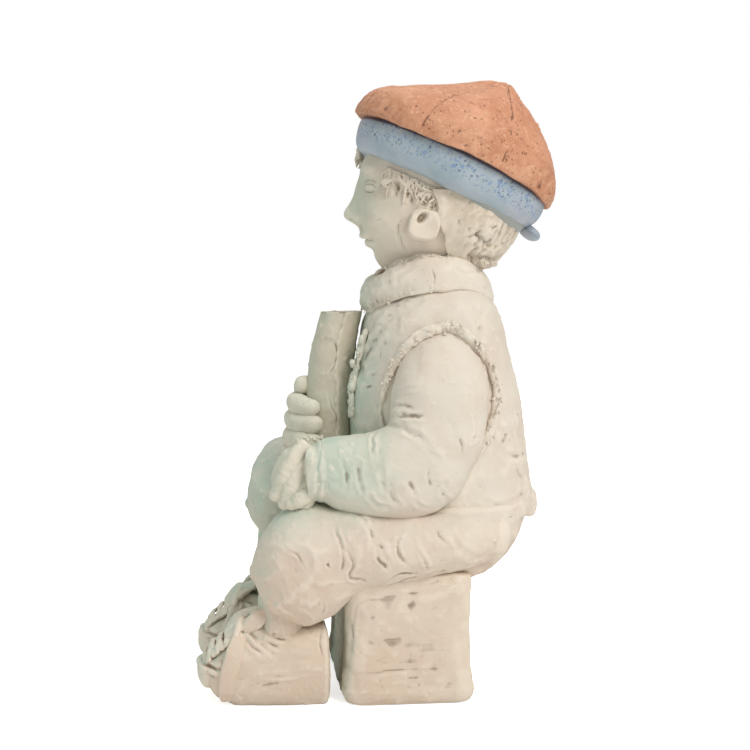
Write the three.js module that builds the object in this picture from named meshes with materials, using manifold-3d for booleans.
// A hand-built ceramic garden figure: a boy in a peaked cap sits on a square block and holds a rolled sheet.
// Every lump of clay that the maker shaped and luted on is its own closed solid, and pieces that touch stand
// one joint's width apart. Millimetres, +Z up, the boy faces -Y and his left side is +X.
// The working frame has its origin on the ground under the middle of the block; the group is moved at the end
// so that the origin lies under the middle of the whole figure.
import * as THREE from 'three';
import Module from 'manifold-3d';

const wasm = await Module();
wasm.setup();

// ---------------------------------------------------------------- driving dimensions
const joint = 0.3; // width left for slip between two pieces that touch

const block = { length: 78, width: 128, height: 80, corner: 13, edge: 3, wall: 9 };

const shoe = { length: 79, halfWidth: 21, height: 48, heelGap: 8, apart: 44, toeIn: 8 };
const lace = { radius: 1.8, rows: 3, start: 0.7, step: 0.075, spread: 10.5 };

const thigh = { wide: 28, deep: 24, sag: 8, hipApart: 38, hipRise: 21 };
const knee = { ahead: 25, apart: 45, wide: 30, round: 29 };
const leftKnee = { deep: 37, above: 42 }; // how far the top of the knee stands above the block's top
const rightKnee = { deep: 33, above: 70 };
const shin = { radius: 16 };

const seat = { wide: 58, deep: 49, high: 33, behind: 30, rise: 20 };

const torso = { height: 130, above: 28, wide: 50, deep: 57, behind: 26 };
const hem = { radius: 6.5, rise: 8 };
const armhole = { radius: 4, halfLength: 36, halfHeight: 50, behind: 18, below: 60 };
const placket = { across: 17, wide: 3.2, proud: 3 };
const button = { radius: 4, thick: 3, count: 3 };

const sleeve = { wide: 22, shoulder: 27, elbow: 31, wrist: 17, apart: 52, drop: 18, reach: 55 };
const cuff = { length: 11, proud: 1.6 };
const finger = { radius: 5.1 };
const palm = { thick: 9, wide: 15, long: 20 };
const hanging = { slope: 58, longest: 36, shorter: 5, step: 7.4, radius: 4.5 }; // the left hand's fingers

const roll = { topRadius: 13, footRadius: 18, height: 109, aside: -4 };

const neck = { radius: 25, height: 34 };
const collar = { halfWidth: 39, halfDepth: 40, halfHeight: 12, halfThick: 4.5, behind: 17 };
const head = { halfWidth: 43, halfDepth: 51, halfHeight: 49, tilt: 12, rise: 70 };
const ear = { wide: 9.5, high: 10.5, thick: 5.5 };
const hair = { thick: 6.5 };

const brim = { halfWidth: 49, halfLength: 56, halfHeight: 13, halfThick: 9, tilt: 26, lift: 15, back: 8 };
const crown = { halfWidth: 62, halfLength: 70, height: 54, lip: 0.16 };
const tab = { wide: 15, high: 6, thick: 7 };

// ---------------------------------------------------------------- places that follow from them
const seatTop = block.height;
const blockFront = -block.length / 2;
const hemHeight = seatTop + torso.above;
const shoulderHeight = hemHeight + torso.height;
const kneeY = blockFront - knee.ahead;
const headCentre = new THREE.Vector3(0, torso.behind - 1, shoulderHeight + head.rise);
const chestFront = torso.behind - torso.deep;
const rollFoot = hemHeight + 15;

// ---------------------------------------------------------------- materials
const finish = (color, roughness) => new THREE.MeshStandardMaterial({ color, roughness, metalness: 0 });
const clay = finish(0xe3d5c3, 0.85);
const skinClay = finish(0xdcd6c4, 0.75);
const hairClay = finish(0xcfc3b0, 0.9);
const sheetClay = finish(0xcfcdbb, 0.8);
const terracotta = finish(0xc79678, 0.7);
const blueGlaze = finish(0xb4c4d2, 0.3);

// ---------------------------------------------------------------- shapes
// A closed surface of rings between two poles: point(v, u) with v from pole to pole and u once round.
function skin(along, around, point) {
  const positions = [];
  const index = [];
  const push = (p) => positions.push(p.x, p.y, p.z);
  push(point(0, 0));
  for (let j = 1; j < along; j++) {
    for (let i = 0; i < around; i++) push(point(j / along, i / around));
  }
  push(point(1, 0));
  const last = 1 + (along - 1) * around;
  const at = (j, i) => 1 + (j - 1) * around + (i % around);
  for (let i = 0; i < around; i++) {
    index.push(0, at(1, i), at(1, i + 1));
    index.push(last, at(along - 1, i + 1), at(along - 1, i));
    for (let j = 1; j < along - 1; j++) {
      index.push(at(j, i), at(j + 1, i), at(j + 1, i + 1), at(j, i), at(j + 1, i + 1), at(j, i + 1));
    }
  }
  return solidOf(positions, index);
}

// A closed surface that runs round a loop: point(v, u) with both v and u once round.
function loop(along, around, point) {
  const positions = [];
  const index = [];
  const at = (j, i) => (j % along) * around + (i % around);
  for (let j = 0; j < along; j++) {
    for (let i = 0; i < around; i++) {
      const p = point(j / along, i / around);
      positions.push(p.x, p.y, p.z);
      index.push(at(j, i), at(j + 1, i), at(j + 1, i + 1), at(j, i), at(j + 1, i + 1), at(j, i + 1));
    }
  }
  return solidOf(positions, index);
}

// The manifold-3d solid of an indexed surface, turned to face outwards.
function solidOf(positions, index) {
  const make = (triVerts) => new wasm.Manifold(
    new wasm.Mesh({ numProp: 3, vertProperties: new Float32Array(positions), triVerts }),
  );
  const made = make(new Uint32Array(index));
  return made.volume() > 0 ? made : make(new Uint32Array(index).reverse());
}

// The solid of a three.js geometry whose equal points are one.
function solidOfGeometry(geometry) {
  const source = geometry.index ? geometry.toNonIndexed() : geometry;
  const all = source.getAttribute('position');
  const seen = new Map();
  const positions = [];
  const index = [];
  for (let i = 0; i < all.count; i++) {
    const p = [all.getX(i), all.getY(i), all.getZ(i)];
    const key = p.map((c) => Math.round(c * 1e4)).join();
    if (!seen.has(key)) {
      seen.set(key, positions.length / 3);
      positions.push(...p);
    }
    index.push(seen.get(key));
  }
  const kept = [];
  for (let i = 0; i < index.length; i += 3) {
    const [a, b, c] = index.slice(i, i + 3);
    if (a !== b && b !== c && c !== a) kept.push(a, b, c);
  }
  return solidOf(positions, kept);
}

const vec = (p) => new THREE.Vector3(...p);
const power = (c, square) => Math.sign(c) * Math.abs(c) ** (2 / square);

// A limb follows a smooth path. At each path point it has a half-width along `side` and a half-depth across it,
// and it ends in round caps of the given lengths past the first and last points.
function limb(form, grow = 0) {
  const { path, wide, deep, caps = [1, 1], square = 2, side = [1, 0, 0], along = 6, around = 10 } = form;
  const line = new THREE.CatmullRomCurve3(path.map(vec), false, 'catmullrom');
  const widths = wide.map((w, i) => new THREE.Vector3(w, deep[i], 0));
  const size = new THREE.CatmullRomCurve3(widths, false, 'catmullrom');
  const capRings = around > 10 ? 3 : 2;
  const rings = along + 2 * capRings;
  return skin(rings, around, (v, u) => {
    const step = v * rings;
    const before = Math.max(0, capRings - step) / capRings;
    const after = Math.max(0, step - capRings - along) / capRings;
    const t = THREE.MathUtils.clamp((step - capRings) / along, 0, 1);
    const shrink = Math.cos((Math.max(before, after) * Math.PI) / 2) ** (2 / square);
    const past = power(Math.sin((after * Math.PI) / 2), square) * (caps[1] + grow)
      - power(Math.sin((before * Math.PI) / 2), square) * (caps[0] + grow);
    const tangent = line.getTangent(t);
    const across = vec(side).addScaledVector(tangent, -vec(side).dot(tangent)).normalize();
    const up = new THREE.Vector3().crossVectors(tangent, across);
    const s = size.getPoint(t);
    const angle = u * 2 * Math.PI;
    return line.getPoint(t)
      .addScaledVector(tangent, past)
      .addScaledVector(across, (s.x + grow) * shrink * power(Math.cos(angle), square))
      .addScaledVector(up, (s.y + grow) * shrink * power(Math.sin(angle), square));
  });
}

// An ellipsoid, or a squarer one, turned by an Euler angle and centred on a point.
function blob({ centre, radii, turn = [0, 0, 0], square = 2, along = 8, around = 12 }, grow = 0) {
  const rotation = new THREE.Euler(...turn);
  return skin(along, around, (v, u) => {
    const ring = power(Math.sin(v * Math.PI), square);
    const local = new THREE.Vector3(
      (radii[0] + grow) * ring * power(Math.cos(u * 2 * Math.PI), square),
      (radii[1] + grow) * ring * power(Math.sin(u * 2 * Math.PI), square),
      (radii[2] + grow) * power(Math.cos(v * Math.PI), square),
    );
    return local.applyEuler(rotation).add(vec(centre));
  });
}

// A straight-sided body: a rounded rectangle drawn up from z = low to z = high with rounded rims.
function slab({ wide, long, corner, low, high, edge }) {
  const [w, l] = [wide / 2 - edge, long / 2 - edge];
  const r = Math.max(corner - edge, 0.5);
  const outline = new THREE.Shape();
  outline.moveTo(-w + r, -l);
  outline.lineTo(w - r, -l);
  outline.absarc(w - r, -l + r, r, -Math.PI / 2, 0);
  outline.lineTo(w, l - r);
  outline.absarc(w - r, l - r, r, 0, Math.PI / 2);
  outline.lineTo(-w + r, l);
  outline.absarc(-w + r, l - r, r, Math.PI / 2, Math.PI);
  outline.lineTo(-w, -l + r);
  outline.absarc(-w + r, -l + r, r, Math.PI, 1.5 * Math.PI);
  const options = {
    depth: high - low - 2 * edge,
    bevelEnabled: edge > 0,
    bevelThickness: edge,
    bevelSize: edge,
    bevelSegments: 2,
    curveSegments: 4,
  };
  return solidOfGeometry(new THREE.ExtrudeGeometry(outline, options).translate(0, 0, low + edge));
}

// Everything above the ground, or above a little under it.
function aboveGround(grow) {
  const reach = 1000;
  return solidOfGeometry(new THREE.BoxGeometry(reach, reach, reach).translate(0, 0, reach / 2 - grow));
}

const mirror = (p) => [-p[0], p[1], p[2]];
const sided = (side, p) => [side * p[0], p[1], p[2]];

// ---------------------------------------------------------------- block and shoes
const blockBody = (grow = 0) => slab({
  wide: block.width + 2 * grow,
  long: block.length + 2 * grow,
  corner: block.corner + grow,
  low: -grow,
  high: block.height + grow,
  edge: block.edge,
});

// The block is built from slabs, so it is open underneath.
const blockHollow = () => slab({
  wide: block.width - 2 * block.wall,
  long: block.length - 2 * block.wall,
  corner: Math.max(block.corner - block.wall, 2),
  low: -block.height,
  high: block.height - block.wall,
  edge: 1,
});

const heelY = blockFront - shoe.heelGap;
const toeY = heelY - shoe.length;
const toeShift = (y) => shoe.toeIn * ((y - heelY) / (toeY - heelY));
const shoeX = (y) => shoe.apart - toeShift(y);

// A blunt ankle boot: level from the heel to the instep, then falling steeply to a round toe.
const shoeBody = (side) => (grow = 0) => {
  const half = shoe.height / 2;
  const at = (share, low) => {
    const y = heelY - share * shoe.length;
    return [side * shoeX(y), y, half * low - 1];
  };
  const body = limb({
    path: [at(0.14, 1), at(0.4, 1.02), at(0.66, 1), at(0.86, 0.74)],
    wide: [0.92, 1, 1.04, 0.86].map((k) => k * shoe.halfWidth),
    deep: [half + 1, half * 1.02 + 1, half + 1, half * 0.74 + 1],
    caps: [0.14 * shoe.length, 0.14 * shoe.length],
    square: 2.9,
    along: 6,
    around: 14,
  }, grow);
  return body.intersect(aboveGround(grow));
};

// ---------------------------------------------------------------- trousers and stockings
const kneeOf = (side) => (side > 0 ? leftKnee : rightKnee);
const kneeHeight = (side) => seatTop + kneeOf(side).above - kneeOf(side).deep;
const thighHeight = seatTop + thigh.deep - 2 * thigh.sag;

const trouserLeg = (side) => (grow = 0) => limb({
  path: [
    [side * thigh.hipApart, block.length / 2, seatTop + thigh.hipRise],
    [side * (knee.apart + 2), -4, (thighHeight + kneeHeight(side) + 14) / 2],
    [side * (knee.apart + 1), blockFront + 3, kneeHeight(side) + (side > 0 ? 4 : -5)],
    [side * knee.apart, kneeY, kneeHeight(side)],
  ],
  wide: [thigh.wide, thigh.wide, thigh.wide, knee.wide],
  deep: [thigh.deep - 3, thigh.deep, thigh.deep + 1, kneeOf(side).deep],
  caps: [18, knee.round],
  along: 8,
  around: 14,
}, grow);

const stocking = (side) => (grow = 0) => limb({
  path: [
    [side * shoeX(kneeY - 10), kneeY - 12, shoe.height - 8],
    [side * knee.apart, kneeY - 6, kneeHeight(side) - 8],
  ],
  wide: [shin.radius, shin.radius],
  deep: [shin.radius, shin.radius + 1],
  along: 2,
}, grow);

const trouserSeat = (grow = 0) => blob({
  centre: [0, seat.behind, seatTop + seat.rise],
  radii: [seat.wide, seat.deep, seat.high],
  square: 2.3,
  around: 18,
  along: 9,
}, grow);

// ---------------------------------------------------------------- jacket
// Shares of the torso's height with the half-width, half-depth and backward shift there.
const torsoSections = [
  { up: 0.05, wide: 1.0, deep: 0.86, back: 8 },
  { up: 0.24, wide: 1.06, deep: 1.02, back: 2 },
  { up: 0.48, wide: 1.02, deep: 1, back: 0 },
  { up: 0.68, wide: 0.99, deep: 0.95, back: -2 },
  { up: 0.86, wide: 0.95, deep: 0.86, back: -3 },
  { up: 0.99, wide: 0.76, deep: 0.74, back: -3 },
];
const torsoBody = (grow = 0) => limb({
  path: torsoSections.map((s) => [0, torso.behind + s.back, hemHeight + s.up * torso.height]),
  wide: torsoSections.map((s) => s.wide * torso.wide),
  deep: torsoSections.map((s) => s.deep * torso.deep),
  caps: [9, 11],
  square: 2.15,
  along: 7,
  around: 20,
}, grow);

// Half-width of the torso's flank at a distance behind its axis.
const flank = (y) => torso.wide * Math.sqrt(Math.max(0.2, 1 - ((y - torso.behind) / torso.deep) ** 2));

const jacketHem = (grow = 0) => loop(28, 6, (v, u) => {
  const a = v * 2 * Math.PI;
  const c = u * 2 * Math.PI;
  const r = hem.radius + grow;
  const out = new THREE.Vector3(Math.cos(a), Math.sin(a), 0);
  return new THREE.Vector3(
    (torso.wide + 1) * Math.cos(a),
    torso.behind + 5 + (torso.deep - 4) * Math.sin(a),
    hemHeight + 6 + hem.rise * Math.cos(a) ** 2,
  ).addScaledVector(out, 0.75 * r * Math.cos(c)).add(new THREE.Vector3(0, 0, r * Math.sin(c)));
});

// ---------------------------------------------------------------- sleeves, cuffs and armholes
const shoulderAt = [sleeve.apart - 8, torso.behind - 7, shoulderHeight - sleeve.drop - 18];
const elbowHeight = hemHeight + 32;
const wristAt = {
  left: [sleeve.apart - 4, torso.behind - 18 - sleeve.reach, hemHeight + 32],
  right: [roll.aside + 40, torso.behind - 6 - sleeve.reach, hemHeight + 50],
};
const rightWrist = [2 * roll.aside - wristAt.right[0], ...wristAt.right.slice(1)];
const wristOf = (side) => (side > 0 ? wristAt.left : rightWrist);

const elbowAt = [sleeve.apart, torso.behind - 16, elbowHeight + 2];
const forearmMiddle = (side) => vec(sided(side, elbowAt)).lerp(vec(wristOf(side)), 0.55).toArray();

// Upper arm and forearm are two straight lumps pressed together, so the elbow keeps a crease inside.
const sleeveBody = (side) => (grow = 0) => {
  const upper = limb({
    path: [
      sided(side, shoulderAt),
      sided(side, [sleeve.apart - 2, torso.behind - 8, elbowHeight + 38]),
      sided(side, [sleeve.apart + 1, torso.behind - 12, elbowHeight + 6]),
    ],
    wide: [sleeve.wide - 3, sleeve.wide, sleeve.wide],
    deep: [sleeve.shoulder, sleeve.elbow, sleeve.elbow - 1],
    caps: [20, 24],
    along: 6,
    around: 14,
  }, grow);
  const fore = limb({
    path: [sided(side, elbowAt), forearmMiddle(side), wristOf(side)],
    wide: [sleeve.wide, sleeve.wide - 2, sleeve.wrist - 1],
    deep: [sleeve.elbow - 1, sleeve.elbow - 7, sleeve.wrist],
    caps: [29, 1.5],
    along: 5,
    around: 14,
  }, grow);
  return upper.add(fore);
};

// The wrist's direction, from the forearm's bend to its end.
const wristDirection = (side) => {
  const wrist = vec(wristOf(side));
  return wrist.sub(vec(sided(side, elbowAt))).normalize();
};
const pastWrist = (side, distance) => vec(wristOf(side))
  .addScaledVector(wristDirection(side), distance)
  .toArray();

const cuffBand = (side) => (grow = 0) => limb({
  path: [pastWrist(side, -1), pastWrist(side, cuff.length)],
  wide: [sleeve.wrist + cuff.proud - 1, sleeve.wrist - 1],
  deep: [sleeve.wrist + cuff.proud, sleeve.wrist],
  caps: [1.5, 1.5],
  square: 2.4,
  along: 2,
}, grow);

const armholeBand = (side) => (grow = 0) => {
  const [start, end, steps] = [-0.2 * Math.PI, 1.12 * Math.PI, 9];
  const path = Array.from({ length: steps }, (_, i) => {
    const a = start + ((end - start) * i) / (steps - 1);
    const y = armhole.behind + armhole.halfLength * Math.cos(a);
    const z = shoulderHeight - armhole.below + armhole.halfHeight * Math.sin(a);
    const slope = Math.max(0, (z - shoulderHeight + 40) / 40);
    return [side * (flank(y) - 9 * slope ** 2), y, z];
  });
  return limb({
    path,
    wide: path.map(() => armhole.radius),
    deep: path.map(() => armhole.radius),
    caps: [3, 3],
    along: 15,
    around: 6,
  }, grow);
};

const placketStrip = (grow = 0) => {
  const chestAt = (up) => {
    const half = torso.deep * (up > 0.75 ? 0.86 : 0.97);
    return [placket.across, torso.behind - half + 1, hemHeight + up * torso.height];
  };
  return limb({
    path: [chestAt(0.5), chestAt(0.68), chestAt(0.86)],
    wide: [1, 1, 1].map((k) => k * placket.wide),
    deep: [1, 1, 1].map((k) => k * placket.proud * 1.6),
    caps: [3, 3],
    along: 4,
    around: 6,
  }, grow);
};

const buttonDisc = (i) => (grow = 0) => {
  const up = 0.62 + (0.22 * i) / (button.count - 1);
  const half = torso.deep * (up > 0.75 ? 0.86 : 0.97);
  return blob({
    centre: [placket.across + 2, torso.behind - half - 3.5, hemHeight + up * torso.height],
    radii: [button.radius, button.thick, button.radius],
    around: 8,
    along: 4,
  }, grow);
};

// ---------------------------------------------------------------- rolled sheet and the hand round it
const rollAt = (up) => {
  const z = rollFoot + up * roll.height;
  const lean = up < 0.5 ? 6 * (1 - up) : 6 * (1 - up) + 1;
  return [roll.aside, chestFront - rollRadius(up) - lean * 0.2, z];
};
function rollRadius(up) {
  const flare = THREE.MathUtils.smoothstep(0.6 - up, 0, 0.4);
  return roll.topRadius + (roll.footRadius - roll.topRadius) * flare;
}
const rollLean = (up) => [rollAt(up)[0], rollAt(up)[1] + (up > 0.6 ? 16 * (up - 0.6) : 0), rollAt(up)[2]];
const rolledSheet = (grow = 0) => {
  const stops = [0, 0.3, 0.6, 0.8, 1];
  return limb({
    path: stops.map(rollLean),
    wide: stops.map(rollRadius),
    deep: stops.map(rollRadius),
    caps: [1.5, 1.5],
    square: 2,
    along: 6,
    around: 14,
  }, grow);
};

// Fingers of the right hand run round the front of the roll, one above the other.
const gripHeight = wristAt.right[2] + 2;
const gripFinger = (i) => (grow = 0) => {
  const z = gripHeight + (i - 1.5) * finger.radius * 2.05;
  const up = (z - rollFoot) / roll.height;
  const centre = rollLean(up);
  const radius = rollRadius(up) + finger.radius * 0.75;
  const on = (degrees) => {
    const a = THREE.MathUtils.degToRad(degrees);
    return [centre[0] + radius * Math.cos(a), centre[1] + radius * Math.sin(a), z];
  };
  return limb({
    path: [on(205), on(240), on(275), on(310), on(336)],
    wide: [5, 5, 5, 5, 4.4].map((r) => (r * finger.radius) / 5),
    deep: [5, 5, 5, 5, 4.4].map((r) => (r * finger.radius) / 5),
    caps: [3, 4.5],
    side: [0, 0, 1],
    along: 6,
    around: 8,
  }, grow);
};
const rightPalm = (grow = 0) => {
  const [x, y] = rollLean((gripHeight - rollFoot) / roll.height);
  return blob({
    centre: [x - rollRadius(0.4) - palm.thick + 2, y + 1, gripHeight],
    radii: [palm.thick + 2, palm.long - 4, palm.long],
    square: 2.5,
  }, grow);
};
const rightThumb = (grow = 0) => {
  const [x, y, z] = rollLean((gripHeight + 22 - rollFoot) / roll.height);
  return limb({
    path: [
      [x - roll.footRadius - 4, y + 2, gripHeight + 10],
      [x - roll.topRadius - 5, y, z],
      [x - 8, y - roll.topRadius - 2, z + 3],
    ],
    wide: [6.2, 5.6, 5],
    deep: [6.2, 5.6, 5],
    caps: [4, 4.5],
    side: [0, 0, 1],
    along: 4,
    around: 8,
  }, grow);
};

// ---------------------------------------------------------------- left hand, hanging over the knee
const leftHand = pastWrist(1, cuff.length);
const leftPalm = (grow = 0) => blob({
  centre: [leftHand[0] - 6, leftHand[1] - palm.long * 0.4, leftHand[2] - 3],
  radii: [palm.thick, palm.long * 0.8, palm.wide + 2],
  turn: [THREE.MathUtils.degToRad(hanging.slope - 30), 0, 0],
  square: 2.4,
}, grow);
// The fingers lie side by side on the palm's outer face and run down and forward,
// each shorter than the last.
const hangFinger = (i) => (grow = 0) => {
  const down = THREE.MathUtils.degToRad(hanging.slope);
  const length = hanging.longest - hanging.shorter * i;
  const start = [leftHand[0] + 3, leftHand[1] + 1, leftHand[2] + sleeve.wrist - 5 - hanging.step * i];
  const on = (t, bow) => [
    start[0] + bow,
    start[1] - t * length * Math.cos(down),
    start[2] - t * length * Math.sin(down),
  ];
  return limb({
    path: [on(0.1, 0), on(0.55, 2), on(1, -3)],
    wide: [1, 1.05, 0.86].map((k) => k * hanging.radius),
    deep: [1, 1.05, 0.86].map((k) => k * hanging.radius),
    caps: [3, 4.5],
    along: 4,
    around: 8,
  }, grow);
};
const leftThumb = (grow = 0) => blob({
  centre: [leftHand[0] + 3, leftHand[1] - 5, leftHand[2] - palm.wide - 2],
  radii: [8, 9, 6],
  turn: [0.5, 0, 0],
}, grow);

// ---------------------------------------------------------------- head
const headTurn = THREE.MathUtils.degToRad(head.tilt);
// A point of the head's own frame (side, forward, up) in the working frame.
const fromHead = ([x, forward, up]) => new THREE.Vector3(x, -forward, up)
  .applyAxisAngle(new THREE.Vector3(1, 0, 0), -headTurn).add(headCentre);

// Soft swellings of a plain child's face on the skull: direction (side, forward, up), height and spread.
// Eyes lie on the middle line, the mouth a third of the way from the nose to the chin.
const bothSides = (s) => [s, { ...s, to: mirror(s.to) }];
const faceSwellings = [
  { to: [0, 1, -0.27], high: 8, spread: 0.14 },
  { to: [0, 1, -0.08], high: 3, spread: 0.16 },
  { to: [0, 0.95, -0.5], high: 2.6, spread: 0.12 },
  { to: [0, 0.86, -0.6], high: 2.4, spread: 0.11 },
  { to: [0, 0.72, -0.86], high: 6, spread: 0.25 },
  ...bothSides({ to: [0.36, 0.95, -0.03], high: -2.5, spread: 0.2 }),
  ...bothSides({ to: [0.36, 0.95, -0.04], high: 3.2, spread: 0.1 }),
  ...bothSides({ to: [0.34, 0.95, 0.2], high: 2, spread: 0.2 }),
  ...bothSides({ to: [0.5, 0.8, -0.42], high: 4, spread: 0.3 }),
];
// Meridians crowd together towards the face.
const crowding = 0.55;
const headBody = (grow = 0) => skin(26, 30, (v, u) => {
  const round = u * 2 * Math.PI;
  const angle = round + crowding * Math.cos(round);
  const direction = new THREE.Vector3(
    Math.sin(v * Math.PI) * Math.cos(angle),
    Math.sin(v * Math.PI) * Math.sin(angle),
    Math.cos(v * Math.PI),
  );
  const swell = faceSwellings.reduce((sum, s) => {
    const away = direction.angleTo(vec(s.to).normalize());
    return sum + s.high * Math.exp(-((away / s.spread) ** 2));
  }, grow);
  return fromHead([
    direction.x * (head.halfWidth * (1 - 0.1 * Math.max(0, -direction.z)) + swell),
    direction.y * (head.halfDepth + swell),
    direction.z * (head.halfHeight + swell),
  ]);
});

const neckPost = (grow = 0) => limb({
  path: [
    [0, torso.behind - 1, shoulderHeight - 6],
    [0, torso.behind - 2, shoulderHeight - 6 + neck.height],
  ],
  wide: [neck.radius, neck.radius],
  deep: [neck.radius + 3, neck.radius + 3],
  along: 2,
  around: 14,
}, grow);

// The collar dips at the throat and the nape and rises under the ears.
const collarBand = (grow = 0) => loop(28, 8, (v, u) => {
  const a = v * 2 * Math.PI;
  const c = u * 2 * Math.PI;
  const out = new THREE.Vector3(Math.cos(a), Math.sin(a), 0);
  return new THREE.Vector3(
    collar.halfWidth * Math.cos(a),
    collar.behind + collar.halfDepth * Math.sin(a),
    shoulderHeight + 5 + 13 * Math.cos(a) ** 2 + 2 * Math.sin(a),
  ).addScaledVector(out, (collar.halfThick + grow) * power(Math.cos(c), 2.6) - 0.2 * collar.halfHeight * Math.sin(c))
    .add(new THREE.Vector3(0, 0, (collar.halfHeight + grow) * power(Math.sin(c), 2.6)));
});

const earShell = (side) => (grow = 0) => blob({
  centre: fromHead([side * (head.halfWidth - 1), 11, -24]).toArray(),
  radii: [ear.thick, ear.wide, ear.high],
  turn: [-headTurn, 0, side * 0.35],
  along: 6,
  around: 10,
}, grow);

// Hair lies on the skull like a thick skin; each lock is the part of it inside an ellipsoid of the head's frame.
const skullSkin = (grow) => blob({
  centre: headCentre.toArray(),
  radii: [head.halfWidth, head.halfDepth, head.halfHeight],
  turn: [-headTurn, 0, 0],
  along: 12,
  around: 20,
}, grow);
const hairLock = (centre, radii) => (grow = 0) => skullSkin(hair.thick + grow)
  .intersect(blob({ centre: fromHead(centre).toArray(), radii, turn: [-headTurn, 0, 0], square: 2.6 }, grow));
const backHair = hairLock([0, -40, -14], [70, 40, 31]);
const sideHair = (side) => hairLock([side * head.halfWidth, 20, 2], [18, 14, 15]);
const forelock = hairLock([-17, head.halfDepth - 4, 18], [9, 14, 11]);

// ---------------------------------------------------------------- cap
// A point of the cap's own frame (side, back along the slope, up) in the working frame.
const capTurn = THREE.MathUtils.degToRad(brim.tilt);
const capCentre = headCentre.clone().add(new THREE.Vector3(0, brim.back, brim.lift));
const fromCap = (x, back, up) => new THREE.Vector3(x, back, up)
  .applyAxisAngle(new THREE.Vector3(1, 0, 0), -capTurn).add(capCentre);

// The brim is a fat roll of clay, thicker at the back than over the forehead.
const brimRoll = (grow = 0) => loop(26, 10, (v, u) => {
  const a = v * 2 * Math.PI;
  const c = u * 2 * Math.PI;
  const tall = (brim.halfHeight + grow) * (0.9 + 0.1 * Math.sin(a));
  const out = (brim.halfThick + grow) * power(Math.cos(c), 2.3) + 2.5 * Math.sin(c);
  return fromCap(
    (brim.halfWidth + out) * Math.cos(a),
    (brim.halfLength + out) * Math.sin(a),
    tall * power(Math.sin(c), 2.2),
  );
});

// The crown's outline from its peak to the lip and back underneath: share of the radius and of the height.
const crownOutline = (share) => {
  if (share < 0.7) {
    const r = share / 0.7;
    return [r, 1 - 0.56 * r - (0.44 - crown.lip) * r ** 6];
  }
  const under = (share - 0.7) / 0.3;
  const inward = Math.max(0, Math.cos((under * Math.PI) / 2)) ** 0.7;
  return [inward, crown.lip - crown.lip * Math.sin(Math.min(1, 3 * under) * Math.PI / 2)];
};
const crownBody = (grow = 0) => skin(13, 24, (v, u) => {
  const [r, high] = crownOutline(v);
  const a = u * 2 * Math.PI;
  const bottom = 0.45 * brim.halfHeight;
  return fromCap(
    r * (crown.halfWidth + grow) * Math.cos(a),
    r * (crown.halfLength + grow) * Math.sin(a) - 3 + 8 * (1 - r) * high,
    bottom - grow + high * (crown.height + 2 * grow),
  );
});

const capTab = (grow = 0) => {
  const at = fromCap(0, brim.halfLength + 4, -brim.halfHeight - 2);
  return blob({
    centre: at.toArray(),
    radii: [tab.wide, tab.thick, tab.high],
    turn: [-capTurn, 0, 0],
  }, grow);
};

// ---------------------------------------------------------------- shoe trims
const shoeFacing = (side, flankSide) => (grow = 0) => {
  const share = 0.76;
  const y = heelY - share * shoe.length;
  const x = (inset) => side * shoeX(y) + flankSide * (shoe.halfWidth * inset);
  return limb({
    path: [
      [x(1.02), y - 1, 4],
      [x(1.04), y + 1, shoe.height * 0.45],
      [x(0.86), y + 4, shoe.height * 0.82],
      [x(0.6), y + 8, shoe.height * 0.98],
    ],
    wide: [2.6, 3, 3, 2.6],
    deep: [5, 5, 5, 4],
    caps: [2, 3],
    along: 5,
    around: 6,
  }, grow).intersect(aboveGround(grow));
};

// Two zigzag coils that cross on the middle line:
// each is the part of a thick shoe skin under an upright ribbon.
const shoeLaces = (side) => (grow = 0) => {
  const zigzag = (first) => {
    const path = Array.from({ length: 2 * lace.rows + 1 }, (_, i) => {
      const y = heelY - (lace.start + (lace.step * i) / 2) * shoe.length;
      return [side * shoeX(y) + first * lace.spread * Math.cos((i * Math.PI) / 2), y, shoe.height];
    });
    return limb({
      path,
      wide: path.map(() => shoe.height / 2),
      deep: path.map(() => lace.radius),
      side: [0, 0, 1],
      square: 3.5,
      along: 4 * lace.rows,
      around: 8,
    }, grow);
  };
  return zigzag(1).add(zigzag(-1)).intersect(shoeBody(side)(2 * lace.radius + grow));
};

const shoeTongue = (side) => (grow = 0) => {
  const y = kneeY - knee.round - 2;
  return limb({
    path: [[side * shoeX(y), y - 3, shoe.height - 5], [side * shoeX(y), y - 2, shoe.height + 5]],
    wide: [11, 8],
    deep: [4, 3],
    caps: [2, 3],
    along: 2,
    around: 8,
  }, grow);
};

// ---------------------------------------------------------------- assembly
const figure = new THREE.Group();
const biggest = (solid) => solid.decompose().sort((a, b) => b.volume() - a.volume())[0];

// Adds one piece, cut back from the pieces that were there first.
function addPiece(name, material, shape, cutBy = []) {
  const cut = (left, other) => left.subtract(other(joint)).subtract(other());
  const solid = biggest(cutBy.reduce(cut, shape()));
  const mesh = solid.getMesh();
  const geometry = new THREE.BufferGeometry();
  const points = new Float32Array(mesh.numVert * 3);
  for (let i = 0; i < mesh.numVert; i++) {
    points.set(mesh.vertProperties.subarray(i * mesh.numProp, i * mesh.numProp + 3), i * 3);
  }
  geometry.setAttribute('position', new THREE.BufferAttribute(points, 3));
  geometry.setIndex(new THREE.BufferAttribute(new Uint32Array(mesh.triVerts), 1));
  geometry.computeVertexNormals();
  const piece = new THREE.Mesh(geometry, material);
  piece.name = name;
  figure.add(piece);
}

const sides = { left: 1, right: -1 };
const legs = [trouserLeg(1), trouserLeg(-1)];
const sleeves = [sleeveBody(1), sleeveBody(-1)];
const cuffs = [cuffBand(1), cuffBand(-1)];

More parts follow.
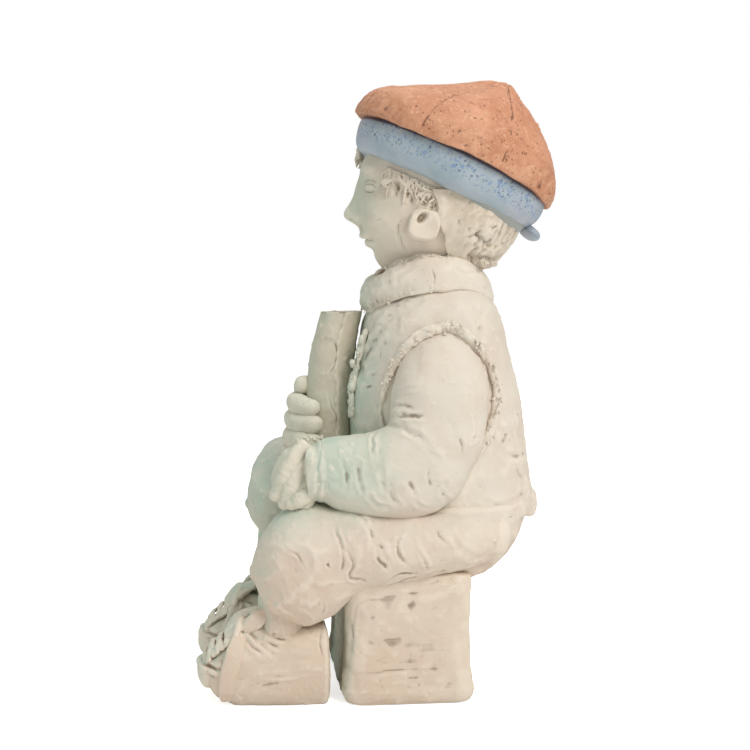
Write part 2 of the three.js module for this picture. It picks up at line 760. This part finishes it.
addPiece('seat_block', clay, () => blockBody().subtract(blockHollow()));
addPiece('torso', clay, torsoBody);
addPiece('trouser_seat', clay, trouserSeat, [blockBody, torsoBody]);
for (const [name, side] of Object.entries(sides)) {
  addPiece(`${name}_shoe`, clay, shoeBody(side));
  addPiece(`${name}_trouser_leg`, clay, trouserLeg(side), [blockBody, torsoBody, trouserSeat, shoeBody(side)]);
  addPiece(`${name}_stocking`, clay, stocking(side), [shoeBody(side), trouserLeg(side)]);
  addPiece(`${name}_shoe_tongue`, clay, shoeTongue(side), [shoeBody(side), trouserLeg(side), stocking(side)]);
  const trims = [];
  for (const [place, flankSide] of [['outer', side], ['inner', -side]]) {
    const strip = shoeFacing(side, flankSide);
    const around = [shoeBody(side), shoeTongue(side), trouserLeg(side)];
    addPiece(`${name}_shoe_facing_${place}`, clay, strip, around);
    trims.push(strip);
  }
  addPiece(`${name}_shoe_laces`, clay, shoeLaces(side), [shoeBody(side), shoeTongue(side), ...trims]);
}

addPiece('rolled_sheet', sheetClay, rolledSheet, [torsoBody, ...legs]);
for (const [name, side] of Object.entries(sides)) {
  addPiece(`${name}_sleeve`, clay, sleeveBody(side), [torsoBody, ...legs, trouserSeat, rolledSheet]);
  addPiece(`${name}_cuff`, clay, cuffBand(side), [sleeveBody(side), torsoBody, ...legs, rolledSheet]);
}
addPiece('jacket_hem', clay, jacketHem, [torsoBody, trouserSeat, ...legs, ...sleeves, rolledSheet]);

addPiece('head', skinClay, headBody);
addPiece('neck', skinClay, neckPost, [torsoBody, headBody]);
addPiece('collar', clay, collarBand, [torsoBody, neckPost, headBody, rolledSheet]);
for (const [name, side] of Object.entries(sides)) {
  const aroundBand = [torsoBody, sleeveBody(side), collarBand, jacketHem];
  addPiece(`${name}_armhole_band`, clay, armholeBand(side), aroundBand);
}
addPiece('placket', clay, placketStrip, [torsoBody, collarBand, rolledSheet]);
const discs = Array.from({ length: button.count }, (_, i) => buttonDisc(i));
discs.forEach((disc, i) => addPiece(`button_${i + 1}`, clay, disc, [placketStrip, torsoBody, rolledSheet]));

addPiece('cap_brim', blueGlaze, brimRoll, [headBody]);
addPiece('cap_crown', terracotta, crownBody, [brimRoll, headBody]);
addPiece('cap_tab', blueGlaze, capTab, [brimRoll, crownBody, headBody]);
const ears = [earShell(1), earShell(-1)];
for (const [name, side] of Object.entries(sides)) {
  addPiece(`${name}_ear`, skinClay, earShell(side), [headBody, brimRoll, collarBand]);
}
const overHair = [headBody, brimRoll, crownBody, capTab, collarBand, neckPost, torsoBody, ...ears];
addPiece('back_hair', hairClay, backHair, overHair);
for (const [name, side] of Object.entries(sides)) {
  addPiece(`${name}_side_hair`, hairClay, sideHair(side), [...overHair, backHair]);
}
addPiece('forelock', hairClay, forelock, overHair);

const aroundHands = [...cuffs, ...sleeves, ...legs, rolledSheet, torsoBody];
const gripFingers = Array.from({ length: 4 }, (_, i) => gripFinger(i));
const hangFingers = Array.from({ length: 4 }, (_, i) => hangFinger(i));
addPiece('right_palm', skinClay, rightPalm, aroundHands);
gripFingers.forEach((shape, i) => {
  const aroundFinger = [rightPalm, ...gripFingers.slice(0, i), ...aroundHands];
  addPiece(`right_finger_${i + 1}`, skinClay, shape, aroundFinger);
});
addPiece('right_thumb', skinClay, rightThumb, [rightPalm, ...gripFingers, ...aroundHands, placketStrip]);
addPiece('left_palm', skinClay, leftPalm, aroundHands);
hangFingers.forEach((shape, i) => {
  addPiece(`left_finger_${i + 1}`, skinClay, shape, [leftPalm, ...hangFingers.slice(0, i), ...aroundHands]);
});
addPiece('left_thumb', skinClay, leftThumb, [leftPalm, ...hangFingers, ...aroundHands]);

// The origin goes under the middle of the figure's box, on the ground.
const box = new THREE.Box3().setFromObject(figure);
figure.position.set(-(box.min.x + box.max.x) / 2, -(box.min.y + box.max.y) / 2, -box.min.z);

export default figure;
